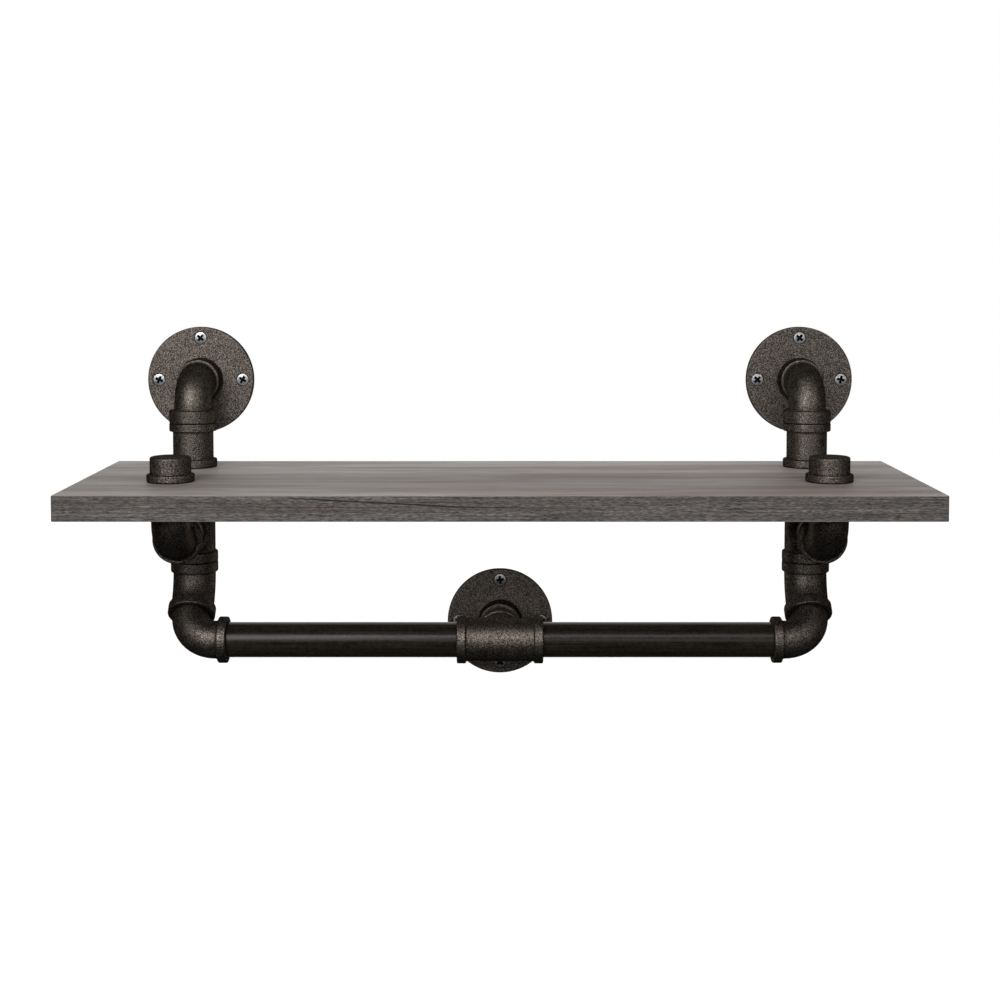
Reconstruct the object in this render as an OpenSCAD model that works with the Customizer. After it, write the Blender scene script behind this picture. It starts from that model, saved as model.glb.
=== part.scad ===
// Floating wall shelf: a board carried by threaded pipe fittings, with a towel bar below it.
// The origin is the centre of the lower middle flange on the wall plane. Z is up, X runs along
// the wall to the right, and the front faces -Y, so the wall is the plane Y = 0.

/* [Board] */
// Length of the board along the wall
board_l = 609.6; // [560:0.1:800]
// Depth of the board out from the wall
board_d = 203.2; // [185:0.1:260]
// Thickness of the board
board_t = 18; // [12:0.5:30]
// Chamfer along the board's edges
board_ease = 0.5; // [0.1:0.1:2]
// Gap between the wall and the board's back edge
wall_gap = 3; // [0:0.5:10]
// Clearance round a pipe in its hole through the board, on the radius
hole_clear = 1; // [0.3:0.1:3]

/* [Layout] */
// Distance from the shelf's middle to each column
column_x = 238; // [200:1:260]
// Distance from a column forward to its front post
post_reach = 91; // [80:1:110]

/* [Pipe] */
// Outer diameter of the pipe
pipe_od = 26.67; // [26:0.01:27.2]
// Inner diameter of the pipe
pipe_id = 20.93; // [18:0.01:23]
// Chamfer on the pipe's cut ends
pipe_chamfer = 0.8; // [0.2:0.1:1.5]
// Length of thread that a pipe end has inside a fitting
engage = 11; // [8:0.5:13]
// Clearance between a thread and its socket, on the radius
thread_clear = 0.15; // [0.05:0.05:0.3]
// Diameter of the waterway inside a fitting
water_d = 20.6; // [16:0.1:22]

/* [Fitting bands] */
// Radius of the raised band round a fitting's open end
band_r = 18.2; // [17:0.1:20]
// Width of the band on the column tees, the drop elbows and the front elbows
band_w = 8; // [5:0.5:9]
// Rounding of a band's outer edges
band_round = 1; // [0.4:0.1:1.6]
// Cove where a band rises from the body
band_cove = 0.8; // [0.3:0.1:1.2]

/* [Street elbows] */
// Radius of an elbow's body
elbow_r = 14.3; // [13.9:0.1:15.5]
// Radius of an elbow's neck where its band begins
elbow_neck_r = 15; // [14.8:0.1:16]
// Bend radius of an upper elbow's centre line
street_bend_r = 20; // [17:0.5:21]
// Bend radius of a bar elbow's centre line
bar_bend_r = 21.5; // [17:0.5:21.5]
// Distance from a street elbow's centre to its open end
street_reach = 30.9; // [30:0.1:36]
// Distance from a street elbow's centre to the shoulder of its male end
street_shoulder = 22; // [22:0.1:26]
// Width of the band on an upper elbow
upper_band_w = 9.9; // [5:0.1:10]
// Width of the band on a bar elbow
bar_band_w = 7; // [5:0.1:10]
// Radius of the band on a bar elbow
bar_band_r = 17.5; // [17:0.1:20]

/* [Other fittings] */
// Radius of a tee's body
tee_r = 16.3; // [15.2:0.1:16.6]
// Fillet in the corners between a tee's branch and its run
tee_fillet = 4; // [2:0.5:6]
// Distance from a column tee's centre to each open end
column_tee_reach = 27.85; // [27:0.05:33]
// Distance from the centre tee's centre to each open end of its run
centre_tee_reach = 32.8; // [28:0.1:36]
// Distance from the centre tee's centre to the open end of its branch
centre_branch_reach = 28.5; // [27:0.1:36]
// Width of the bands on the centre tee
centre_band_w = 7; // [5:0.1:9]
// Radius of the bands on the centre tee
centre_band_r = 17.9; // [17.4:0.1:20]
// Bend radius of a front elbow's centre line
front_bend_r = 17; // [15.5:0.5:18]
// Angle by which the drop elbow under each column turns the pipe forward
drop_angle = 45; // [30:5:60]
// Distance from a drop elbow's centre to each open end
drop_reach = 23.2; // [22.5:0.1:28]
// Radius of a drop elbow's body
drop_r = 16.3; // [15.4:0.1:16.6]
// Length of the coupling that stands on the board
coupling_l = 34.3; // [30:0.1:40]
// Radius of the coupling between its bands
coupling_r = 15.5; // [14.8:0.1:16]
// Width of the bands on the coupling
coupling_band_w = 6.4; // [4:0.1:8]
// Height of the cap
cap_h = 18.2; // [15:0.1:22]
// Radius of the cap above its band
cap_r = 14.8; // [14.4:0.1:15.5]
// Radius of the cap's band
cap_band_r = 17.2; // [16.8:0.1:18.5]
// Height of the cap's band
cap_band_h = 5.8; // [4:0.1:7]
// Rounding of the cap's top edge
cap_round = 1.6; // [0.6:0.1:2]

/* [Flanges and screws] */
// Radius of a wall flange
flange_r = 42; // [40:0.5:46]
// Thickness of a flange's plate
flange_t = 4.8; // [4:0.1:6]
// Rounding of the plate's front edge
flange_round = 1; // [0.4:0.1:1.6]
// Height of a flange from the wall to the open end of its hub
flange_h = 18; // [17:0.5:24]
// Radius of the hub where it leaves the plate
hub_base_r = 17.4; // [16.5:0.1:19]
// Radius of the hub at its open end
hub_rim_r = 16.6; // [16:0.1:17.4]
// Cove between the plate and the hub
hub_cove = 0.6; // [0.4:0.1:3]
// Diameter of the circle that the screws lie on
screw_circle_d = 66.4; // [58:0.1:70]
// Number of screws in a flange
screw_count = 4; // [3:1:6]
// Diameter of a screw hole below its countersink
screw_hole_d = 6.5; // [6:0.1:7]
// Diameter of the countersink at the plate's face
sink_d = 10.6; // [9.8:0.1:11.4]
// Diameter of a screw's head
head_d = 9.1; // [8.2:0.1:9.7]
// Height of the straight rim of a screw's head
head_rim = 0.3; // [0.1:0.1:0.6]
// Clearance between a screw's head and its countersink, on the radius
head_clear = 0.1; // [0.05:0.05:0.3]
// Diameter of a screw's shank
shank_d = 4; // [3.5:0.1:4.5]
// Length of a screw from the top of its head to its tip
screw_l = 32; // [20:1:60]
// Length of a screw's pointed tip
screw_tip_l = 5; // [3:0.5:8]

/* [Hidden] */
$fn = 96;

// How far every cut runs past the surface it opens
overrun = 1;

// Finishes as the object shows them
iron_colour = "#4a443f";
pipe_colour = "#2a2622";
zinc_colour = "#d3d4d6";
wood_colour = "#8f8a85";

// Radii that pieces share where they fit together
pipe_r = pipe_od / 2;
socket_r = pipe_r + thread_clear;
water_r = water_d / 2;
board_hole_r = pipe_r + hole_clear;

// A street elbow's male end sits in the drop elbow, so the bar hangs this far down and forward
drop = (drop_reach + street_shoulder) * sin(drop_angle);

// Places, counted up from the towel bar and out from the wall
column_y = -(flange_h + street_shoulder);
bar_y = column_y - drop;
post_y = column_y - post_reach;
drop_elbow_z = (drop_reach + street_shoulder) * cos(drop_angle);
column_tee_z = drop_elbow_z + drop_reach + column_tee_reach;
board_bottom_z = column_tee_z + column_tee_reach;
board_top_z = board_bottom_z + board_t;
upper_elbow_z = board_top_z + coupling_l + street_reach;

// The front elbow meets the branch and the board as the column tee does
front_reach = column_tee_reach;

// A drop elbow's bend runs on to just inside its two bands
drop_bend_r = (drop_reach - band_w + band_round) / tan(drop_angle / 2);
// How deep a cove bites into a body that is already bending
cove_bite = 0.15;

// Lengths of the pipes between the fittings
close_nipple_l = 2 * engage;
through_nipple_l = board_t + 2 * engage;
branch_nipple_l = post_reach - column_tee_reach - front_reach + 2 * engage;
centre_nipple_l = -bar_y - flange_h - centre_branch_reach + 2 * engage;
towel_bar_l = column_x - street_reach - centre_tee_reach + 2 * engage;

// Screw heads lie as deep in the countersink as their size and clearance ask for
head_sink = (sink_d - head_d) / 2 - head_rim - head_clear;
head_cone_h = (head_d - shank_d) / 2;

// Disc from z = 0 to z = h with both outer edges rounded
module rounded_disc(r, h, edge) {
  rotate_extrude() {
    square([r - edge, h]);
    translate([0, edge]) square([r, h - 2 * edge]);
    for (z = [edge, h - edge]) translate([r - edge, z]) circle(r = edge);
  }
}

// Disc from z = 0 to z = h with only its top edge rounded
module rounded_top(r, h, edge) {
  rotate_extrude() {
    square([r - edge, h]);
    square([r, h - edge]);
    translate([r - edge, h - edge]) circle(r = edge);
  }
}

// Cove below the plane z = 0, round a cylinder of radius r
module cove(r, size) {
  rotate_extrude()
    difference() {
      translate([r - size, -size]) square([2 * size, size]);
      translate([r + size, -size]) circle(r = size);
    }
}

// Raised band that ends at z = reach on a body of radius r
module end_band(reach, r, band, width) {
  translate([0, 0, reach - width]) {
    rounded_disc(band, width, band_round);
    cove(r, band_cove);
  }
}

// Threaded socket that opens at z = reach
module socket_cut(reach) {
  translate([0, 0, reach - engage]) cylinder(r = socket_r, h = engage + overrun);
}

// Distance from a bend's corner to where its straight legs begin
function leg_start(turn, bend_radius) = bend_radius * tan(turn / 2);

// Round bar bent by an angle: it comes down the Z axis and leaves towards +X
module bend(turn, bend_radius, r) {
  translate([bend_radius, 0, leg_start(turn, bend_radius)])
    rotate([90, 0, 0])
      rotate([0, 0, 180])
        rotate_extrude(angle = turn)
          translate([bend_radius, 0]) circle(r = r);
}

// Puts its children on the leaving leg of such a bend
module leaving_leg(turn) {
  rotate([0, 180 - turn, 0]) children();
}

// Leg of an elbow with a band at its open end, widening from the bend to the band
module banded_leg(start, reach, r, neck_r, band, width) {
  translate([0, 0, start]) cylinder(r1 = r, r2 = neck_r, h = reach - width - start);
  end_band(reach, neck_r, band, width);
}

// Waterway through both legs of a square elbow
module square_waterway(bend_radius, reach_a, reach_b) {
  bend(90, bend_radius, water_r);
  translate([0, 0, bend_radius]) cylinder(r = water_r, h = reach_a - bend_radius + overrun);
  leaving_leg(90)
    translate([0, 0, bend_radius]) cylinder(r = water_r, h = reach_b - bend_radius + overrun);
}

// Square elbow with two open ends, towards +Z and +X
module square_elbow(bend_radius, reach) {
  difference() {
    union() {
      bend(90, bend_radius, elbow_r);
      banded_leg(bend_radius, reach, elbow_r, elbow_neck_r, band_r, band_w);
      leaving_leg(90) banded_leg(bend_radius, reach, elbow_r, elbow_neck_r, band_r, band_w);
    }
    square_waterway(bend_radius, reach, reach);
    socket_cut(reach);
    leaving_leg(90) socket_cut(reach);
  }
}

// Street elbow: open end towards +Z, male end towards +X
module street_elbow(bend_radius, band, width) {
  male_end = street_shoulder + engage;
  difference() {
    union() {
      bend(90, bend_radius, elbow_r);
      banded_leg(bend_radius, street_reach, elbow_r, elbow_neck_r, band, width);
      leaving_leg(90) {
        translate([0, 0, bend_radius]) cylinder(r = elbow_r, h = street_shoulder - bend_radius);
        translate([0, 0, bend_radius])
          cylinder(r = pipe_r, h = male_end - pipe_chamfer - bend_radius);
        translate([0, 0, male_end - pipe_chamfer])
          cylinder(r1 = pipe_r, r2 = pipe_r - pipe_chamfer, h = pipe_chamfer);
      }
    }
    square_waterway(bend_radius, street_reach, male_end);
    socket_cut(street_reach);
  }
}

// Tee: its run lies along Z and its branch towards +X. A bent bar in each corner makes the fillet.
module tee(reach, branch_reach, band, width) {
  ends = [[[0, 0, 0], reach], [[180, 0, 0], reach], [[0, 90, 0], branch_reach]];
  difference() {
    union() {
      for (end = ends) {
        rotate(end[0]) cylinder(r = tee_r, h = end[1] - width);
        rotate(end[0]) end_band(end[1], tee_r, band, width);
      }
      for (turn = [0, 180])
        rotate([turn, 0, 0]) bend(90, tee_r + tee_fillet, tee_r - cove_bite);
    }
    for (end = ends) {
      rotate(end[0]) cylinder(r = water_r, h = end[1]);
      rotate(end[0]) socket_cut(end[1]);
    }
  }
}

// Length of pipe from z = 0 to z = length, with chamfered ends
module pipe(length) {
  difference() {
    union() {
      translate([0, 0, pipe_chamfer]) cylinder(r = pipe_r, h = length - 2 * pipe_chamfer);
      cylinder(r1 = pipe_r - pipe_chamfer, r2 = pipe_r, h = pipe_chamfer);
      translate([0, 0, length - pipe_chamfer])
        cylinder(r1 = pipe_r, r2 = pipe_r - pipe_chamfer, h = pipe_chamfer);
    }
    translate([0, 0, -overrun]) cylinder(d = pipe_id, h = length + 2 * overrun);
  }
}

// Puts its children on each place of a flange's screw circle
module at_screws() {
  for (i = [0 : screw_count - 1])
    rotate([0, 0, i * 360 / screw_count])
      translate([screw_circle_d / 2, 0, 0]) children();
}

// Stands its children on the wall: their +Z points out into the room
module on_wall() {
  rotate([90, 0, 0]) children();
}

// Wall flange with its back on z = 0
module flange() {
  color(iron_colour) difference() {
    union() {
      rounded_top(flange_r, flange_t, flange_round);
      translate([0, 0, flange_t])
        cylinder(r1 = hub_base_r, r2 = hub_rim_r, h = flange_h - flange_t - band_round);
      rounded_top(hub_rim_r, flange_h, band_round);
      translate([0, 0, flange_t]) mirror([0, 0, 1]) cove(hub_base_r, hub_cove);
    }
    translate([0, 0, -overrun]) cylinder(r = socket_r, h = flange_h + 2 * overrun);
    at_screws() {
      translate([0, 0, -overrun]) cylinder(d = screw_hole_d, h = flange_t + 2 * overrun);
      translate([0, 0, flange_t - sink_d / 2]) cylinder(r1 = 0, r2 = sink_d / 2, h = sink_d / 2);
    }
  }
}

// Four countersunk screws in place in a flange
module flange_screws() {
  head_top = flange_t - head_sink;
  color(zinc_colour) at_screws() {
    translate([0, 0, head_top - head_rim]) cylinder(d = head_d, h = head_rim);
    translate([0, 0, head_top - head_rim - head_cone_h])
      cylinder(d1 = shank_d, d2 = head_d, h = head_cone_h);
    translate([0, 0, head_top - screw_l + screw_tip_l])
      cylinder(d = shank_d, h = screw_l - screw_tip_l - head_rim - head_cone_h);
    translate([0, 0, head_top - screw_l]) cylinder(r1 = 0, d2 = shank_d, h = screw_tip_l);
  }
}

// Rectangle centred on the origin, with its corners cut off
module eased_rectangle(width, height, ease) {
  polygon([
    [-width / 2 + ease, -height / 2], [width / 2 - ease, -height / 2],
    [width / 2, -height / 2 + ease], [width / 2, height / 2 - ease],
    [width / 2 - ease, height / 2], [-width / 2 + ease, height / 2],
    [-width / 2, height / 2 - ease], [-width / 2, -height / 2 + ease]
  ]);
}

// The board, eased along every edge, with a hole for each column and each post
module shelf_board() {
  color(wood_colour) difference() {
    translate([0, -wall_gap - board_d / 2, board_bottom_z + board_t / 2])
      intersection() {
        linear_extrude(board_t, center = true) eased_rectangle(board_l, board_d, board_ease);
        rotate([90, 0, 0])
          linear_extrude(board_d, center = true) eased_rectangle(board_l, board_t, board_ease);
        rotate([90, 0, 90])
          linear_extrude(board_l, center = true) eased_rectangle(board_d, board_t, board_ease);
      }
    for (x = [-column_x, column_x], y = [column_y, post_y])
      translate([x, y, board_bottom_z - overrun])
        cylinder(r = board_hole_r, h = board_t + 2 * overrun);
  }
}

// Pieces of the left side, at their places. The right side is their mirror image.
module wall_flange() {
  translate([-column_x, 0, upper_elbow_z]) on_wall() flange();
}

module wall_screws() {
  translate([-column_x, 0, upper_elbow_z]) on_wall() flange_screws();
}

module upper_elbow() {
  color(iron_colour) translate([-column_x, column_y, upper_elbow_z])
    rotate([0, 0, 90]) rotate([180, 0, 0]) street_elbow(street_bend_r, band_r, upper_band_w);
}

module close_nipple() {
  color(pipe_colour) translate([-column_x, column_y, board_top_z + coupling_l - engage])
    pipe(close_nipple_l);
}

module coupling() {
  color(iron_colour) translate([-column_x, column_y, board_top_z]) difference() {
    union() {
      translate([0, 0, coupling_band_w])
        cylinder(r = coupling_r, h = coupling_l - 2 * coupling_band_w);
      end_band(coupling_l, coupling_r, band_r, coupling_band_w);
      translate([0, 0, coupling_l]) mirror([0, 0, 1])
        end_band(coupling_l, coupling_r, band_r, coupling_band_w);
    }
    translate([0, 0, -overrun]) cylinder(r = socket_r, h = coupling_l + 2 * overrun);
  }
}

module through_nipple() {
  color(pipe_colour) translate([-column_x, column_y, board_bottom_z - engage])
    pipe(through_nipple_l);
}

module column_tee() {
  color(iron_colour) translate([-column_x, column_y, column_tee_z])
    rotate([0, 0, -90]) tee(column_tee_reach, column_tee_reach, band_r, band_w);
}

module lower_nipple() {
  color(pipe_colour) translate([-column_x, column_y, column_tee_z - column_tee_reach - engage])
    pipe(close_nipple_l);
}

// Its body is all bend, which ends inside the bands
module drop_elbow() {
  color(iron_colour) translate([-column_x, column_y, drop_elbow_z]) rotate([0, 0, -90])
    difference() {
      union() {
        bend(drop_angle, drop_bend_r, drop_r);
        end_band(drop_reach, drop_r - cove_bite, band_r, band_w);
        leaving_leg(drop_angle) end_band(drop_reach, drop_r - cove_bite, band_r, band_w);
      }
      bend(drop_angle, drop_bend_r, water_r);
      socket_cut(drop_reach);
      leaving_leg(drop_angle) socket_cut(drop_reach);
    }
}

module bar_elbow() {
  color(iron_colour) translate([-column_x, bar_y, 0])
    rotate([180 - drop_angle, 0, 0]) rotate([0, 90, 0])
      street_elbow(bar_bend_r, bar_band_r, bar_band_w);
}

module branch_nipple() {
  color(pipe_colour)
    translate([-column_x, column_y - column_tee_reach + engage, column_tee_z])
      on_wall() pipe(branch_nipple_l);
}

module front_elbow() {
  color(iron_colour) translate([-column_x, post_y, column_tee_z])
    rotate([0, 0, 90]) square_elbow(front_bend_r, front_reach);
}

module post_nipple() {
  color(pipe_colour) translate([-column_x, post_y, board_bottom_z - engage])
    pipe(through_nipple_l);
}

module post_cap() {
  color(iron_colour) translate([-column_x, post_y, board_top_z]) difference() {
    union() {
      rounded_top(cap_r, cap_h, cap_round);
      translate([0, 0, cap_band_h]) mirror([0, 0, 1])
        end_band(cap_band_h, cap_r, cap_band_r, cap_band_h);
    }
    translate([0, 0, -overrun]) cylinder(r = socket_r, h = engage + overrun);
  }
}

module towel_bar() {
  color(pipe_colour) translate([-column_x + street_reach - engage, bar_y, 0])
    rotate([0, 90, 0]) pipe(towel_bar_l);
}

// Pieces in the middle
module centre_nipple() {
  color(pipe_colour) translate([0, -flange_h + engage, 0]) on_wall() pipe(centre_nipple_l);
}

module centre_tee() {
  color(iron_colour) translate([0, bar_y, 0])
    rotate([90, 0, 0]) rotate([0, 90, 0])
      tee(centre_tee_reach, centre_branch_reach, centre_band_r, centre_band_w);
}

module on_right() {
  mirror([1, 0, 0]) children();
}

shelf_board();
on_wall() flange();  // centre_flange
centre_nipple();
centre_tee();
wall_flange();  // left_wall_flange
upper_elbow();  // left_upper_elbow
close_nipple();  // left_close_nipple
coupling();  // left_coupling
through_nipple();  // left_through_nipple
column_tee();  // left_column_tee
lower_nipple();  // left_lower_nipple
drop_elbow();  // left_drop_elbow
bar_elbow();  // left_bar_elbow
branch_nipple();  // left_branch_nipple
front_elbow();  // left_front_elbow
post_nipple();  // left_post_nipple
post_cap();  // left_post_cap
towel_bar();  // left_towel_bar
on_right() wall_flange();  // right_wall_flange
on_right() upper_elbow();  // right_upper_elbow
on_right() close_nipple();  // right_close_nipple
on_right() coupling();  // right_coupling
on_right() through_nipple();  // right_through_nipple
on_right() column_tee();  // right_column_tee
on_right() lower_nipple();  // right_lower_nipple
on_right() drop_elbow();  // right_drop_elbow
on_right() bar_elbow();  // right_bar_elbow
on_right() branch_nipple();  // right_branch_nipple
on_right() front_elbow();  // right_front_elbow
on_right() post_nipple();  // right_post_nipple
on_right() post_cap();  // right_post_cap
on_right() towel_bar();  // right_towel_bar
wall_screws();  // left_wall_screws
on_right() wall_screws();  // right_wall_screws
on_wall() flange_screws();  // centre_wall_screws
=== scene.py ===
"""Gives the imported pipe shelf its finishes, its wall screws, a plain studio and the photograph's camera.

It is laid out as an add-on and run as a script. Sizes are in metres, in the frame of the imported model:
X to the right, Z up, the wall at Y = 0 and the front towards -Y.
"""

import math

import bpy
from bpy.props import FloatProperty, FloatVectorProperty, IntProperty, PointerProperty
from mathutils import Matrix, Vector


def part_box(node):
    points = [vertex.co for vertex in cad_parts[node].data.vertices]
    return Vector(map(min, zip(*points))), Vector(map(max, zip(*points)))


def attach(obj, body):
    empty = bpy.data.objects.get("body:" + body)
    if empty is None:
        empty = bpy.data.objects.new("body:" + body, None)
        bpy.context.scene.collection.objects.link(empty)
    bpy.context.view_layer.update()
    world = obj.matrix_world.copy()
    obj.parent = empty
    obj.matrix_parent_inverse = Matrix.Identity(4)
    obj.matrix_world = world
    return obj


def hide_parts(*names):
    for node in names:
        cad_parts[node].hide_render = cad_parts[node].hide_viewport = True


bl_info = {
    "name": "Pipe shelf dresser",
    "version": (1, 0, 0),
    "blender": (4, 5, 0),
    "location": "View3D > Sidebar > Pipe shelf",
    "description": "Finishes, wall screws and studio for a shelf on threaded pipe fittings",
    "category": "Object",
}

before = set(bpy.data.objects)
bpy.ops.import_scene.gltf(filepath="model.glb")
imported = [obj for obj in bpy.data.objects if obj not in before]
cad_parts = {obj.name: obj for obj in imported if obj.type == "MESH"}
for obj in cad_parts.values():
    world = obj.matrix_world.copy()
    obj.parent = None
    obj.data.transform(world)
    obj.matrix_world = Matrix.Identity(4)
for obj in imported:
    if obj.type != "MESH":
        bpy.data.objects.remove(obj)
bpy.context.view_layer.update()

MM = 0.001
# The camera that took the photograph, found from edges of the board, the flanges and the pipes.
CAMERA_PLACE = (0, -1.336809, 0.283815)
CAMERA_DIP = 3.426  # degrees below the level
CAMERA_LENS = 60.425  # mm, on a sensor 36 mm wide
CAMERA_SHIFT = -0.13288
# The lamps of the studio: width, height and place of each. All look at LAMP_AIM.
LAMPS = {
    "key": (1.3, 1.3, (-0.86, -2.28, 1.12)),
    "fill": (1.0, 1.0, (1.81, -1.89, 0.51)),
    "front": (2.4, 0.4, (0.7, -2.1, 1.66)),
    "low": (1.2, 0.5, (0.6, -2.5, 0.38)),
}
LAMP_AIM = (0, -0.08, 0.06)
FLOOR_REACH = 40  # metres from the middle of the floor to its sides
FLOOR_SHARE = 0.6  # share of the room's even light that matt faces get back from the floor
# The screws' rods: sides, rings along the length and rings across the head.
ROD_SIDES, ROD_RINGS, HEAD_RINGS = 32, 160, 8
THREAD_SHARPNESS = 1.6
POINT_SHARE = 0.04  # radius left at the point, as a share of the thread's
# A wing of the recess has its full span at half depth, and is wider at its mouth than at its floor.
WING_MOUTH, WING_FLOOR = 0.72 * math.sqrt(2), 0.28 * math.sqrt(2)
SHARP_EDGE = 35  # degrees from which an edge is shaded sharp
CASTINGS = ["centre_flange", "centre_tee"] + [
    side + part
    for side in ("left_", "right_")
    for part in (
        "wall_flange",
        "upper_elbow",
        "coupling",
        "column_tee",
        "drop_elbow",
        "bar_elbow",
        "front_elbow",
        "post_cap",
    )
]
PIPES = ["centre_nipple"] + [
    side + part
    for side in ("left_", "right_")
    for part in ("close_nipple", "through_nipple", "lower_nipple", "branch_nipple", "post_nipple", "towel_bar")
]
FLANGE_SCREWS = {
    "left_wall_screws": "left_wall_flange",
    "centre_wall_screws": "centre_flange",
    "right_wall_screws": "right_wall_flange",
}


def linear(hex_colour):
    """Turns an sRGB hex colour into the linear values that a shader takes."""
    shares = [int(hex_colour[i : i + 2], 16) / 255 for i in (1, 3, 5)]
    return tuple(c / 12.92 if c <= 0.04045 else ((c + 0.055) / 1.055) ** 2.4 for c in shares)


def colour(name, hex_colour, description):
    """A colour setting whose default is an sRGB hex colour."""
    return FloatVectorProperty(
        name=name, description=description, default=linear(hex_colour), size=3, min=0, max=1, subtype="COLOR"
    )


def length(name, millimetres, description):
    """A length setting whose default is written in millimetres."""
    return FloatProperty(
        name=name, description=description, default=millimetres * MM, min=0, subtype="DISTANCE", unit="LENGTH"
    )


def power(name, watts, description):
    """A lamp's power setting."""
    return FloatProperty(name=name, description=description, default=watts, min=0, unit="POWER")


def strength(name, value, description):
    """A setting from 0 to 1 for light that the room gives."""
    return FloatProperty(name=name, description=description, default=value, min=0, max=1)


class ScrewSizes(bpy.types.PropertyGroup):
    """Sizes of the wall screws."""

    circle: length("Screw circle", 66.4, "Diameter of the circle on which a flange's screws sit")
    count: IntProperty(
        name="Screws in a flange", description="Number of screws in each flange", default=4, min=2, max=8
    )
    sink: length("Head depth", 4.45, "How far the screw heads' tops stand in front of the wall")
    head: length("Head diameter", 9.1, "Across the countersunk head")
    rim: length("Head rim", 0.3, "Height of the straight rim of the head")
    shank: length("Shank diameter", 4.0, "Across the crests of the thread")
    thread: length("Thread depth", 0.55, "Depth of the thread")
    pitch: length("Thread pitch", 1.8, "Advance of the thread in one turn")
    screw: length("Screw length", 32.0, "From the head's top to the point")
    tip: length("Point length", 5.0, "Length of the tapered point")
    crown: length("Head crown", 0.3, "How far the head's edge falls behind its middle")
    recess: length("Recess span", 6.4, "Across the wings of the cross recess")
    wing: length("Recess wing", 2.1, "Width of one wing of the cross recess")
    recess_depth: length("Recess depth", 2.6, "Depth of the cross recess")
    seed: IntProperty(name="Turn seed", description="Chooses how far each screw is turned in", default=4, min=0)


class FinishColours(bpy.types.PropertyGroup):
    """Colours of the finishes under plain light."""

    iron_skin: colour("Cast iron skin", "#544e49", "Black malleable iron between its sand grains")
    iron_pit: colour("Cast iron pits", "#16130f", "Dark pits that the sand left in the skin")
    iron_grain: colour("Cast iron grains", "#9a9188", "Tops of the grains, where the skin is rubbed bright")
    pipe_skin: colour("Pipe lacquer", "#12100d", "Black lacquer on the steel pipe")
    pipe_worn: colour("Pipe lacquer, thin", "#2b241c", "Brown tone where the lacquer is thin")
    zinc: colour("Zinc", "#c2c3c5", "Bright zinc plating of the screws")
    zinc_dull: colour("Zinc, dull", "#8c8d90", "Zinc where it has gone dull")
    # Painted shade: a dark colour that stands for the shade in the cross recess.
    recess_shade_colour: colour("Screw recess", "#1b1a1a", "Dark residue in the cross recess")
    board_grey: colour("Board, grey", "#948f8a", "Weathered grey of the board's grain")
    board_brown: colour("Board, brown", "#7a6c67", "Brown that shows between the grey streaks")
    board_line: colour("Board, grain lines", "#3a3531", "Dark lines of the grain")
    board_crack: colour("Board, crack", "#1c1916", "The open shake in the front edge")


class StudioSettings(bpy.types.PropertyGroup):
    """Sizes and strengths of the plain studio."""

    floor_drop: length("Floor drop", 5000.0, "Height of the object's origin above the floor")
    floor_colour: colour("Floor", "#40403f", "Colour of the floor under its white glow")
    key: power("Key light", 42, "Power of the soft light at the front left")
    fill: power("Fill light", 4, "Power of the soft light at the right")
    front: power("Front light", 20, "Power of the wide light over the camera")
    low: power("Low light", 4, "Power of the soft light beside the camera")
    ambient: strength("Ambient", 0.45, "Strength of the room on matt faces")
    gloom: strength("Gloom", 0.015, "Strength of the room before the object, as gloss mirrors it")


def add(tree, kind, inputs=(), stops=(), **fields):
    """Adds a node with its fields, its sockets' values or links, and the stops of a colour ramp."""
    node = tree.nodes.new(kind)
    for field, value in fields.items():
        setattr(node, field, value)
    for socket, value in dict(inputs).items():
        if isinstance(value, bpy.types.NodeSocket):
            tree.links.new(value, node.inputs[socket])
        else:
            node.inputs[socket].default_value = value
    for place, (position, tone) in enumerate(stops):
        elements = node.color_ramp.elements
        stop = elements[place] if place < 2 else elements.new(position)
        stop.position, stop.color = position, (*tone, 1)
    return node


def new_material(name):
    """An empty material of that name, and its tree."""
    material = bpy.data.materials.new(name)
    material.use_nodes = True
    material.node_tree.nodes.clear()
    return material, material.node_tree


def maths(tree, operation, *values, **fields):
    """One step of arithmetic."""
    return add(tree, "ShaderNodeMath", dict(enumerate(values)), operation=operation, **fields).outputs[0]


def ranged(tree, value, low, high, start=0.0, end=1.0):
    """Takes a value that runs from low to high to one that runs from start to end and stops there."""
    limits = {"From Min": low, "From Max": high, "To Min": start, "To Max": end}
    return add(tree, "ShaderNodeMapRange", {"Value": value, **limits}).outputs["Result"]


def noise(tree, place, size, detail, roughness=0.5, distortion=0.0):
    """Noise whose patches have that size in millimetres: one number, or three along X, Y and Z."""
    if isinstance(size, tuple):
        scale = 1
        scales = tuple(1 / (side * MM) for side in size)
        place = add(tree, "ShaderNodeMapping", {"Vector": place, "Scale": scales}).outputs[0]
    else:
        scale = 1 / (size * MM)
    settings = {"Detail": detail, "Roughness": roughness, "Distortion": distortion}
    return add(tree, "ShaderNodeTexNoise", {"Vector": place, "Scale": scale, **settings}).outputs["Fac"]


def toned(tree, value, *stops):
    """A colour ramp. Its first two stops are its ends."""
    return add(tree, "ShaderNodeValToRGB", {"Fac": value}, stops=stops).outputs["Color"]


def mixed(tree, share, first, second, mode="MIX"):
    """Two colours mixed by a share of the second, or multiplied."""
    inputs = {0: share, 6: first, 7: second}
    return add(tree, "ShaderNodeMix", inputs, data_type="RGBA", blend_type=mode).outputs[2]


def bumped(tree, height, amount, depth):
    """The normal of a surface with bumps of that depth in millimetres."""
    inputs = {"Height": height, "Strength": amount, "Distance": depth * MM}
    return add(tree, "ShaderNodeBump", inputs).outputs["Normal"]


def surface(tree, inputs):
    """The material's surface, from values and links of its shader."""
    shader = add(tree, "ShaderNodeBsdfPrincipled", inputs)
    add(tree, "ShaderNodeOutputMaterial", {"Surface": shader.outputs["BSDF"]})


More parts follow.
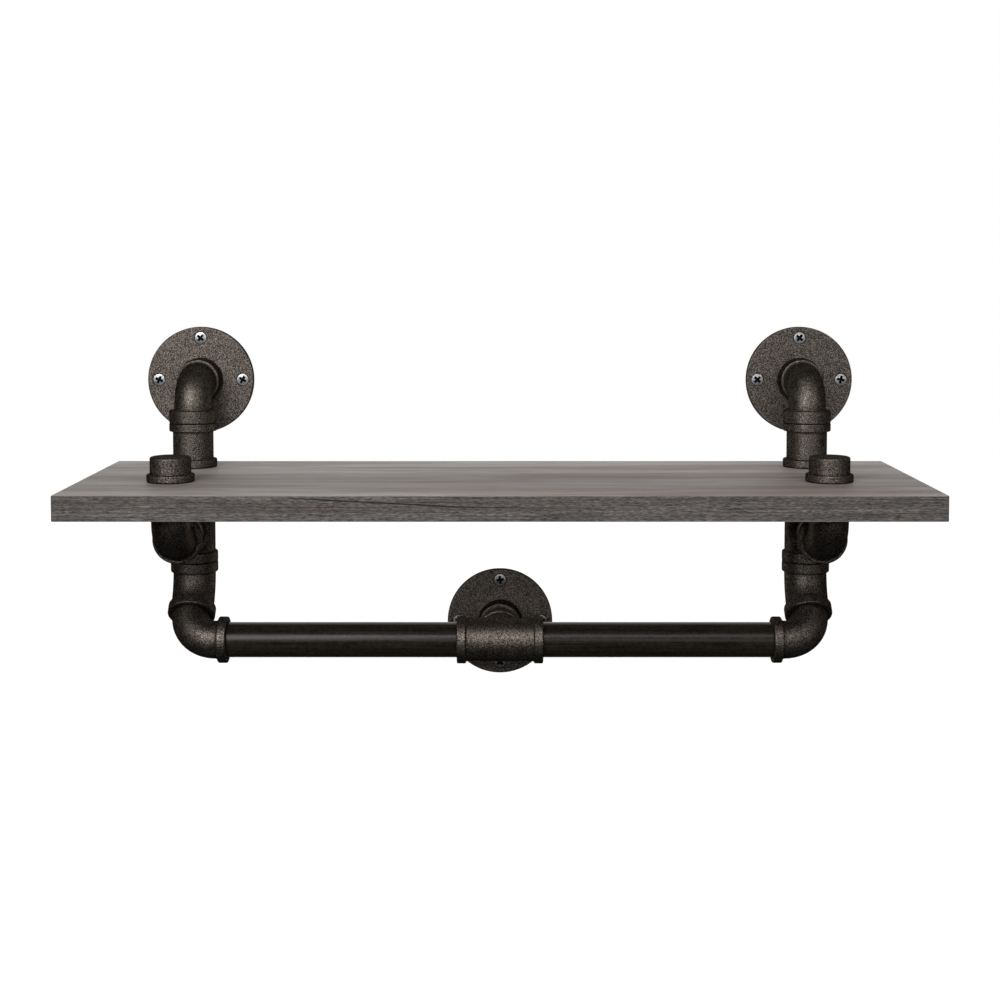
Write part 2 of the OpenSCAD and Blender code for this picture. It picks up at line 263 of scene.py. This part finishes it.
def sand_cast_iron(colours):
    """Black malleable iron, sand cast.

    It was poured in sand and lightly lacquered. The eye sees a dark bronze-black skin, grainy all over, with
    small bright grains and dark pits, and a soft sheen on what faces the light.
    """
    material, tree = new_material("black_malleable_iron_sand_cast")
    place = add(tree, "ShaderNodeTexCoord").outputs["Object"]
    # Foundry sand is about 0.3 mm. It is drawn at 0.66 mm, because finer grains don't show in the render.
    grain = noise(tree, place, 0.66, detail=2, roughness=0.55)
    # Lumps of the mould's skin, about 6 mm.
    lumps = noise(tree, place, 6, detail=2)
    tones = toned(tree, grain, (0.35, colours.iron_pit), (0.67, colours.iron_grain), (0.5, colours.iron_skin))
    bump = bumped(tree, maths(tree, "MULTIPLY_ADD", lumps, 0.5, grain), 0.5, 0.3)
    # Painted shade darkens the creases: it shows where the next 2.5 mm around a point are mostly closed.
    crease_occlusion = add(tree, "ShaderNodeAmbientOcclusion", {"Distance": 2.5 * MM, "Normal": bump}, samples=8)
    crease_shade = ranged(tree, crease_occlusion.outputs["AO"], 0.35, 0.85, 0.08, 1.0)
    # The low specular tint keeps the rims of the dark iron from mirroring the white room.
    surface(
        tree,
        {
            # The base colour carries the painted crease shade.
            "Base Color": mixed(tree, 1.0, tones, crease_shade, "MULTIPLY"),
            "Metallic": 1,
            "Roughness": ranged(tree, lumps, 0.3, 0.7, 0.46, 0.56),
            "Specular Tint": (0.05, 0.05, 0.05, 1),
            "Normal": bump,
        },
    )
    return material


def lacquered_pipe(colours):
    """Black lacquered steel pipe, drawn.

    It was drawn and dipped in black lacquer. The eye sees a smooth brown-black tube with one narrow highlight
    along it, faint lines along its length and small thin spots in the lacquer.
    """
    material, tree = new_material("black_lacquered_steel_pipe")
    place = add(tree, "ShaderNodeTexCoord").outputs["Object"]
    # Draw lines run along the pipe: about 60 mm long and 1.2 mm wide.
    lines = noise(tree, place, (60, 1.2, 1.2), detail=2)
    # Thin spots in the lacquer, about 3 mm.
    spots = noise(tree, place, 3, detail=4, roughness=0.7)
    both = maths(tree, "MULTIPLY", maths(tree, "ADD", lines, spots), 0.5)
    surface(
        tree,
        {
            "Base Color": toned(tree, both, (0.4, colours.pipe_skin), (0.7, colours.pipe_worn)),
            "Roughness": ranged(tree, both, 0.35, 0.65, 0.24, 0.36),
            "Specular IOR Level": 0.22,
            "Normal": bumped(tree, both, 0.3, 0.12),
        },
    )
    return material


def zinc_plate(colours):
    """Bright zinc plate on steel screws.

    It was plated in a barrel. The eye sees a light silver metal with soft reflections and small duller patches.
    """
    material, tree = new_material("bright_zinc_plate")
    place = add(tree, "ShaderNodeTexCoord").outputs["Object"]
    # Patches of the plating, about 1.5 mm.
    patches = noise(tree, place, 1.5, detail=3)
    tones = toned(tree, patches, (0.35, colours.zinc_dull), (0.6, colours.zinc))
    # Painted shade: in front of the wall only the recesses show behind the heads' tops, so the heads darken from 4.0
    # to 3.4 mm before it to a dark colour that stands for the recess's shade.
    deep = add(tree, "ShaderNodeSeparateXYZ", {0: place}).outputs["Y"]
    before_wall = maths(tree, "LESS_THAN", deep, 0.0)
    recess = maths(tree, "MULTIPLY", ranged(tree, deep, -4.0 * MM, -3.4 * MM), before_wall)
    surface(
        tree,
        {
            "Base Color": mixed(tree, recess, tones, (*colours.recess_shade_colour, 1)),
            "Metallic": 1,
            "Roughness": ranged(tree, patches, 0.3, 0.7, 0.4, 0.28),
            "Normal": bumped(tree, patches, 0.2, 0.1),
        },
    )
    return material


def shake(tree, spot, wander):
    """The long crack in the board's front edge, as a share from 0 to 1.

    It starts near the top edge left of the middle, falls to half the thickness, and closes at the right.
    """
    falling = ranged(tree, spot["X"], -150 * MM, -25 * MM, 127.3 * MM, 120.9 * MM)
    flat = ranged(tree, spot["X"], -25 * MM, 90 * MM, 0.0, -1.6 * MM)
    course = maths(tree, "ADD", falling, flat)
    # It wanders by 0.6 mm with the fine grain, and is 0.6 mm wide with soft sides.
    course = maths(tree, "ADD", course, maths(tree, "MULTIPLY_ADD", wander, 1.2 * MM, -0.6 * MM))
    gap = maths(tree, "ABSOLUTE", maths(tree, "SUBTRACT", spot["Z"], course))
    share = ranged(tree, gap, 0.3 * MM, 0.75 * MM, 1.0, 0.0)
    opening = ranged(tree, spot["X"], -150 * MM, -125 * MM)
    closing = ranged(tree, spot["X"], -40 * MM, 85 * MM, 1.0, 0.0)
    forward = maths(tree, "LESS_THAN", spot["Y"], -200 * MM)
    for reach in (opening, closing, forward):
        share = maths(tree, "MULTIPLY", share, reach)
    return share


def weathered_board(colours):
    """Softwood board, weathered grey and sealed matt.

    The growth rings lie nearly flat in it. The eye sees broad soft grey and brown streaks on the faces, and
    darker edges with short light and dark dashes, fine lines along the grain and one long crack in front.
    """
    material, tree = new_material("weathered_softwood_matt")
    place = add(tree, "ShaderNodeTexCoord").outputs["Object"]
    spot = add(tree, "ShaderNodeSeparateXYZ", {0: place}).outputs
    normal = add(tree, "ShaderNodeSeparateXYZ", {0: add(tree, "ShaderNodeNewGeometry").outputs["Normal"]})
    # 1 on the top and the underside, 0 on the four edges.
    face = ranged(tree, maths(tree, "ABSOLUTE", normal.outputs["Z"]), 0.4, 0.8)
    # The patterns' sizes are in mm along the board, across it and through its thickness. The first is the
    # growth rings, the second the fine grain, and the third the torn fibres of the sawn edges.
    rings = noise(tree, place, (380, 30, 2.4), detail=5, roughness=0.6, distortion=0.6)
    fine = noise(tree, place, (60, 1.8, 0.9), detail=3, roughness=0.65)
    torn = noise(tree, place, (4, 3, 0.6), detail=3, roughness=0.7, distortion=0.5)
    # Flecks of the faces. They are coarser than the real fibre, which the flat view hides.
    flecks = noise(tree, place, (50, 9, 3), detail=4, roughness=0.75, distortion=0.3)
    streaks = toned(tree, rings, (0.34, colours.board_brown), (0.6, colours.board_grey))
    # Grain lines are twice as strong on the edges as on the faces.
    line = maths(tree, "MULTIPLY", ranged(tree, fine, 0.56, 0.36), ranged(tree, face, 0.0, 1.0, 0.6, 0.3))
    lined = mixed(tree, line, streaks, (*colours.board_line, 1))
    cracked = mixed(tree, shake(tree, spot, fine), lined, (*colours.board_crack, 1))
    # The edges are darker than the faces, with light and dark dashes of torn fibre. The difference is partly the
    # sawn edges' own tone and partly a painted sheen that lightens the faces.
    dashes = ranged(tree, torn, 0.3, 0.7, 0.0, 0.68)
    # The faces are lighter towards the long edges than 130 mm from the wall.
    aside = maths(tree, "ABSOLUTE", maths(tree, "ADD", spot["Y"], 130 * MM))
    light = maths(
        tree, "ADD", ranged(tree, aside, 20 * MM, 75 * MM, 0.86, 1.17), ranged(tree, flecks, 0.3, 0.7, -0.15, 0.15)
    )
    shade = add(tree, "ShaderNodeMix", {0: face, 2: dashes, 3: light}).outputs[0]
    surface(
        tree,
        {
            "Base Color": mixed(tree, 1.0, cracked, shade, "MULTIPLY"),
            "Roughness": ranged(tree, rings, 0.3, 0.7, 0.62, 0.5),
            "Specular IOR Level": 0.4,
            "Normal": bumped(tree, maths(tree, "ADD", fine, torn), 0.35, 0.25),
        },
    )
    return material


def dress(nodes, material):
    """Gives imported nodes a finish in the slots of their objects."""
    for node in nodes:
        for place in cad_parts[node].material_slots:
            place.material = material


def screw_tree(material):
    """The tree that makes the screws of one flange.

    A screw is a rod whose radius follows its depth: head, countersink, thread and point. A cross is cut from
    its head, it is set on the flange's screw circle, and the whole is turned to face the front.
    """
    tree = bpy.data.node_groups.new("wall_screws", "GeometryNodeTree")
    sizes = {}
    entry = add(tree, "NodeGroupInput")
    for name, kind in (
        ("Centre", "NodeSocketVector"),
        ("Circle", "NodeSocketFloat"),
        ("Count", "NodeSocketInt"),
        ("Head", "NodeSocketFloat"),
        ("Rim", "NodeSocketFloat"),
        ("Shank", "NodeSocketFloat"),
        ("Thread", "NodeSocketFloat"),
        ("Pitch", "NodeSocketFloat"),
        ("Length", "NodeSocketFloat"),
        ("Tip", "NodeSocketFloat"),
        ("Crown", "NodeSocketFloat"),
        ("Recess", "NodeSocketFloat"),
        ("Wing", "NodeSocketFloat"),
        ("Recess Depth", "NodeSocketFloat"),
        ("Seed", "NodeSocketInt"),
    ):
        tree.interface.new_socket(name, in_out="INPUT", socket_type=kind)
        sizes[name] = entry.outputs[name]
    tree.interface.new_socket("Screws", in_out="OUTPUT", socket_type="NodeSocketGeometry")

    def work(operation, *values):
        """One step of arithmetic."""
        return maths(tree, operation, *values)

    # A rod of radius one, of short rings, its head's top at zero. The crown bends it back by its radius.
    straight = work("SUBTRACT", sizes["Length"], sizes["Crown"])
    rod = add(
        tree,
        "GeometryNodeMeshCylinder",
        {
            "Vertices": ROD_SIDES,
            "Side Segments": ROD_RINGS,
            "Fill Segments": HEAD_RINGS,
            "Radius": 1.0,
            "Depth": straight,
        },
    )
    there = add(tree, "ShaderNodeSeparateXYZ", {0: add(tree, "GeometryNodeInputPosition").outputs[0]})
    depth = work("SUBTRACT", work("MULTIPLY", straight, 0.5), there.outputs["Z"])
    across = work("ADD", work("POWER", there.outputs["X"], 2.0), work("POWER", there.outputs["Y"], 2.0))
    bent = work("MULTIPLY_ADD", across, sizes["Crown"], depth)
    head = work("MULTIPLY", sizes["Head"], 0.5)
    crest = work("MULTIPLY", sizes["Shank"], 0.5)
    cone = work("SUBTRACT", work("ADD", head, sizes["Rim"]), depth)
    turn = work("DIVIDE", work("ARCTAN2", there.outputs["Y"], there.outputs["X"]), math.tau)
    phase = work("FRACT", work("ADD", work("DIVIDE", depth, sizes["Pitch"]), turn))
    wave = work("SUBTRACT", 1.0, work("ABSOLUTE", work("MULTIPLY_ADD", phase, 2.0, -1.0)))
    sharp = work("POWER", wave, THREAD_SHARPNESS)
    root = work("SUBTRACT", crest, sizes["Thread"])
    threaded = work("MULTIPLY_ADD", sharp, sizes["Thread"], root)
    to_point = work("DIVIDE", work("SUBTRACT", straight, depth), sizes["Tip"])
    taper = work("MAXIMUM", work("MINIMUM", to_point, 1.0), POINT_SHARE)
    body = work("MULTIPLY", threaded, taper)
    radius = work("MINIMUM", head, work("MAXIMUM", cone, body))
    drawn = {
        "X": work("MULTIPLY", there.outputs["X"], radius),
        "Y": work("MULTIPLY", there.outputs["Y"], radius),
        "Z": work("MULTIPLY", bent, -1.0),
    }
    drawn = add(tree, "ShaderNodeCombineXYZ", drawn).outputs[0]
    shaped = add(tree, "GeometryNodeSetPosition", {"Geometry": rod.outputs["Mesh"], "Position": drawn})
    # The two wings of the recess are four-sided wedges, turned square and then made narrow.
    wings = []
    down = add(tree, "ShaderNodeCombineXYZ", {"Z": work("MULTIPLY", sizes["Recess Depth"], -1.0)}).outputs[0]
    narrow = {"X": 1.0, "Y": work("DIVIDE", sizes["Wing"], sizes["Recess"]), "Z": 1.0}
    narrow = add(tree, "ShaderNodeCombineXYZ", narrow).outputs[0]
    for turned in (0.0, math.pi / 2):
        wedge = add(
            tree,
            "GeometryNodeMeshCone",
            {
                "Vertices": 4,
                "Radius Top": work("MULTIPLY", sizes["Recess"], WING_MOUTH),
                "Radius Bottom": work("MULTIPLY", sizes["Recess"], WING_FLOOR),
                "Depth": work("MULTIPLY", sizes["Recess Depth"], 2.0),
            },
        )
        square = {"Geometry": wedge.outputs["Mesh"], "Rotation": (0, 0, math.pi / 4)}
        square = add(tree, "GeometryNodeTransform", square).outputs[0]
        wing = {"Geometry": square, "Translation": down, "Rotation": (0, 0, turned), "Scale": narrow}
        wings.append(add(tree, "GeometryNodeTransform", wing).outputs[0])
    cut = add(tree, "GeometryNodeMeshBoolean", {"Mesh 1": shaped.outputs[0]}, operation="DIFFERENCE", solver="EXACT")
    for wing in wings:
        tree.links.new(wing, cut.inputs["Mesh 2"])
    circle = work("MULTIPLY", sizes["Circle"], 0.5)
    ring = add(tree, "GeometryNodeMeshCircle", {"Vertices": sizes["Count"], "Radius": circle})
    turns = add(
        tree,
        "FunctionNodeRandomValue",
        {0: (0, 0, 0), 1: (0, 0, math.tau), "Seed": sizes["Seed"]},
        data_type="FLOAT_VECTOR",
    )
    placed = add(
        tree,
        "GeometryNodeInstanceOnPoints",
        {"Points": ring.outputs["Mesh"], "Instance": cut.outputs["Mesh"], "Rotation": turns.outputs[0]},
    )
    forward = add(
        tree,
        "GeometryNodeTransform",
        {"Geometry": placed.outputs["Instances"], "Translation": sizes["Centre"], "Rotation": (math.pi / 2, 0, 0)},
    )
    solid = add(tree, "GeometryNodeRealizeInstances", {"Geometry": forward.outputs[0]})
    finished = add(tree, "GeometryNodeSetMaterial", {"Geometry": solid.outputs[0], "Material": material})
    add(tree, "NodeGroupOutput", {0: finished.outputs[0]})
    return tree


def grown(tree, name, values):
    """Runs a tree on an empty mesh with the named inputs and returns the result as a plain mesh object."""
    seed = bpy.data.objects.new(name + "_tree", bpy.data.meshes.new(name + "_tree"))
    bpy.context.scene.collection.objects.link(seed)
    modifier = seed.modifiers.new("tree", "NODES")
    modifier.node_group = tree
    for socket in tree.interface.items_tree:
        if socket.in_out == "INPUT":
            modifier[socket.identifier] = values[socket.name]
    result = seed.evaluated_get(bpy.context.evaluated_depsgraph_get())
    mesh = bpy.data.meshes.new_from_object(result)
    seed.modifiers.remove(modifier)
    bpy.data.objects.remove(seed)
    mesh.name = name
    mesh.shade_smooth()
    mesh.set_sharp_from_angle(angle=math.radians(SHARP_EDGE))
    piece = bpy.data.objects.new(name, mesh)
    bpy.context.scene.collection.objects.link(piece)
    return piece


def soft_light(name, power, width, height, place):
    """A rectangular lamp that looks at the middle of the shelf and doesn't show itself to the camera."""
    lamp = bpy.data.lights.new(name, "AREA")
    lamp.energy, lamp.shape, lamp.size, lamp.size_y = power, "RECTANGLE", width, height
    holder = bpy.data.objects.new(name, lamp)
    holder.location = place
    holder.rotation_euler = (Vector(LAMP_AIM) - Vector(place)).to_track_quat("-Z", "Y").to_euler()
    holder.visible_camera = False
    bpy.context.scene.collection.objects.link(holder)


def shown(tree, behind):
    """Is 1 for the camera's rays and, as far as a place lies behind the object, for what gloss mirrors."""
    rays = add(tree, "ShaderNodeLightPath").outputs
    mirrored = maths(tree, "ADD", rays["Is Glossy Ray"], rays["Is Transmission Ray"])
    return maths(tree, "MULTIPLY_ADD", mirrored, behind, rays["Is Camera Ray"], use_clamp=True)


def even_light(tree, amount, other):
    """Adds light of that strength, which falls on matt faces alone, to the other light."""
    matt = add(tree, "ShaderNodeLightPath").outputs["Is Diffuse Ray"]
    return maths(tree, "MULTIPLY_ADD", matt, amount, other)


class SHELF_OT_camera(bpy.types.Operator):
    """Set up the camera that took the photograph"""

    bl_idname = "shelf.camera"
    bl_label = "Camera"

    def execute(self, context):
        lens = bpy.data.cameras.new("photo_camera")
        lens.sensor_width, lens.lens, lens.shift_y = 36, CAMERA_LENS, CAMERA_SHIFT
        camera = bpy.data.objects.new("photo_camera", lens)
        camera.location = CAMERA_PLACE
        camera.rotation_euler = (math.radians(90 - CAMERA_DIP), 0, 0)
        context.scene.collection.objects.link(camera)
        context.scene.camera = camera
        return {"FINISHED"}


class SHELF_OT_board(bpy.types.Operator):
    """Finish the board"""

    bl_idname = "shelf.board"
    bl_label = "Board"

    def execute(self, context):
        dress(["shelf_board"], weathered_board(context.scene.shelf_colours))
        return {"FINISHED"}


class SHELF_OT_castings(bpy.types.Operator):
    """Finish the flanges, elbows, tees, couplings and caps"""

    bl_idname = "shelf.castings"
    bl_label = "Cast fittings"

    def execute(self, context):
        dress(CASTINGS, sand_cast_iron(context.scene.shelf_colours))
        return {"FINISHED"}


class SHELF_OT_pipes(bpy.types.Operator):
    """Finish the towel bars and nipples"""

    bl_idname = "shelf.pipes"
    bl_label = "Pipes"

    def execute(self, context):
        dress(PIPES, lacquered_pipe(context.scene.shelf_colours))
        return {"FINISHED"}


class SHELF_OT_screws(bpy.types.Operator):
    """Make the wall screws of each flange"""

    bl_idname = "shelf.screws"
    bl_label = "Wall screws"

    def execute(self, context):
        sizes = context.scene.shelf_screws
        tree = screw_tree(zinc_plate(context.scene.shelf_colours))
        for place, (screws, flange) in enumerate(FLANGE_SCREWS.items()):
            low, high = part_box(flange)
            piece = grown(
                tree,
                screws + "_threaded",
                {
                    "Centre": ((low.x + high.x) / 2, -sizes.sink, (low.z + high.z) / 2),
                    "Circle": sizes.circle,
                    "Count": sizes.count,
                    "Head": sizes.head,
                    "Rim": sizes.rim,
                    "Shank": sizes.shank,
                    "Thread": sizes.thread,
                    "Pitch": sizes.pitch,
                    "Length": sizes.screw,
                    "Tip": sizes.tip,
                    "Crown": sizes.crown,
                    "Recess": sizes.recess,
                    "Wing": sizes.wing,
                    "Recess Depth": sizes.recess_depth,
                    "Seed": sizes.seed + place,
                },
            )
            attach(piece, "root")
            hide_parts(screws)
        return {"FINISHED"}


class SHELF_OT_studio(bpy.types.Operator):
    """Set up the pale floor, the white surroundings and the soft lights"""

    bl_idname = "shelf.studio"
    bl_label = "Studio"

    def execute(self, context):
        studio = context.scene.shelf_studio
        mesh = bpy.data.meshes.new("floor")
        reach, level = FLOOR_REACH, -studio.floor_drop
        corners = [(-reach, -reach, level), (reach, -reach, level), (reach, reach, level), (-reach, reach, level)]
        mesh.from_pydata(corners, [], [(0, 1, 2, 3)])
        floor = bpy.data.objects.new("floor", mesh)
        context.scene.collection.objects.link(floor)
        material, tree = new_material("matt_white_floor")
        # The floor glows white far behind the object, and less within 8 m of the point below it, where it
        # keeps the shadow. Gloss mirrors that glow only behind the object, from 5 m to 9 m on.
        spot = add(tree, "ShaderNodeTexCoord").outputs["Object"]
        behind = ranged(tree, add(tree, "ShaderNodeSeparateXYZ", {0: spot}).outputs["Y"], 5.0, 9.0)
        away = add(tree, "ShaderNodeVectorMath", {0: spot, 1: (0, 0, -studio.floor_drop)}, operation="DISTANCE")
        white = ranged(tree, away.outputs["Value"], 3.0, 8.0, 0.87, 1.0)
        glow = maths(tree, "MULTIPLY", shown(tree, behind), white)
        surface(
            tree,
            {
                "Base Color": (*studio.floor_colour, 1),
                "Roughness": 0.9,
                "Emission Color": (1, 1, 1, 1),
                "Emission Strength": even_light(tree, FLOOR_SHARE * studio.ambient, glow),
            },
        )
        mesh.materials.append(material)

        world = bpy.data.worlds.new("white_studio")
        world.use_nodes = True
        tree = world.node_tree
        tree.nodes.clear()
        # Gloss mirrors the room white behind the object and dim in front, where the lamps stand.
        way = add(tree, "ShaderNodeSeparateXYZ", {0: add(tree, "ShaderNodeTexCoord").outputs["Generated"]})
        behind = ranged(tree, way.outputs["Y"], 0.4, 0.9, studio.gloom, 1.0)
        white = even_light(tree, studio.ambient, shown(tree, behind))
        glow = add(tree, "ShaderNodeBackground", {"Color": (1, 1, 1, 1), "Strength": white})
        add(tree, "ShaderNodeOutputWorld", {"Surface": glow.outputs[0]})
        context.scene.world = world

        for name, (width, height, place) in LAMPS.items():
            soft_light(name + "_light", getattr(studio, name), width, height, place)
        context.scene.view_settings.view_transform = "Standard"
        return {"FINISHED"}


class SHELF_PT_pieces(bpy.types.Panel):
    """Lists the pieces and their settings"""

    bl_idname = "SHELF_PT_pieces"
    bl_label = "Pipe shelf"
    bl_space_type = "VIEW_3D"
    bl_region_type = "UI"
    bl_category = "Pipe shelf"

    def draw(self, context):
        column = self.layout.column()
        for operator in OPERATORS:
            column.operator(operator.bl_idname)
        for group in (context.scene.shelf_screws, context.scene.shelf_colours, context.scene.shelf_studio):
            for setting in group.bl_rna.properties.keys():
                if setting not in ("rna_type", "name"):
                    column.prop(group, setting)


SETTINGS = {"shelf_screws": ScrewSizes, "shelf_colours": FinishColours, "shelf_studio": StudioSettings}
OPERATORS = (SHELF_OT_camera, SHELF_OT_board, SHELF_OT_castings, SHELF_OT_pipes, SHELF_OT_screws, SHELF_OT_studio)
CLASSES = (*SETTINGS.values(), *OPERATORS, SHELF_PT_pieces)


def register():
    """Adds the settings, the operators and the panel to Blender."""
    for cls in CLASSES:
        bpy.utils.register_class(cls)
    for name, group in SETTINGS.items():
        setattr(bpy.types.Scene, name, PointerProperty(type=group))


def unregister():
    """Takes them out again."""
    for name in SETTINGS:
        delattr(bpy.types.Scene, name)
    for cls in reversed(CLASSES):
        bpy.utils.unregister_class(cls)


def main():
    register()
    bpy.ops.shelf.camera()
    bpy.ops.shelf.board()
    bpy.ops.shelf.castings()
    bpy.ops.shelf.pipes()
    bpy.ops.shelf.screws()
    bpy.ops.shelf.studio()


if __name__ == "__main__":
    main()
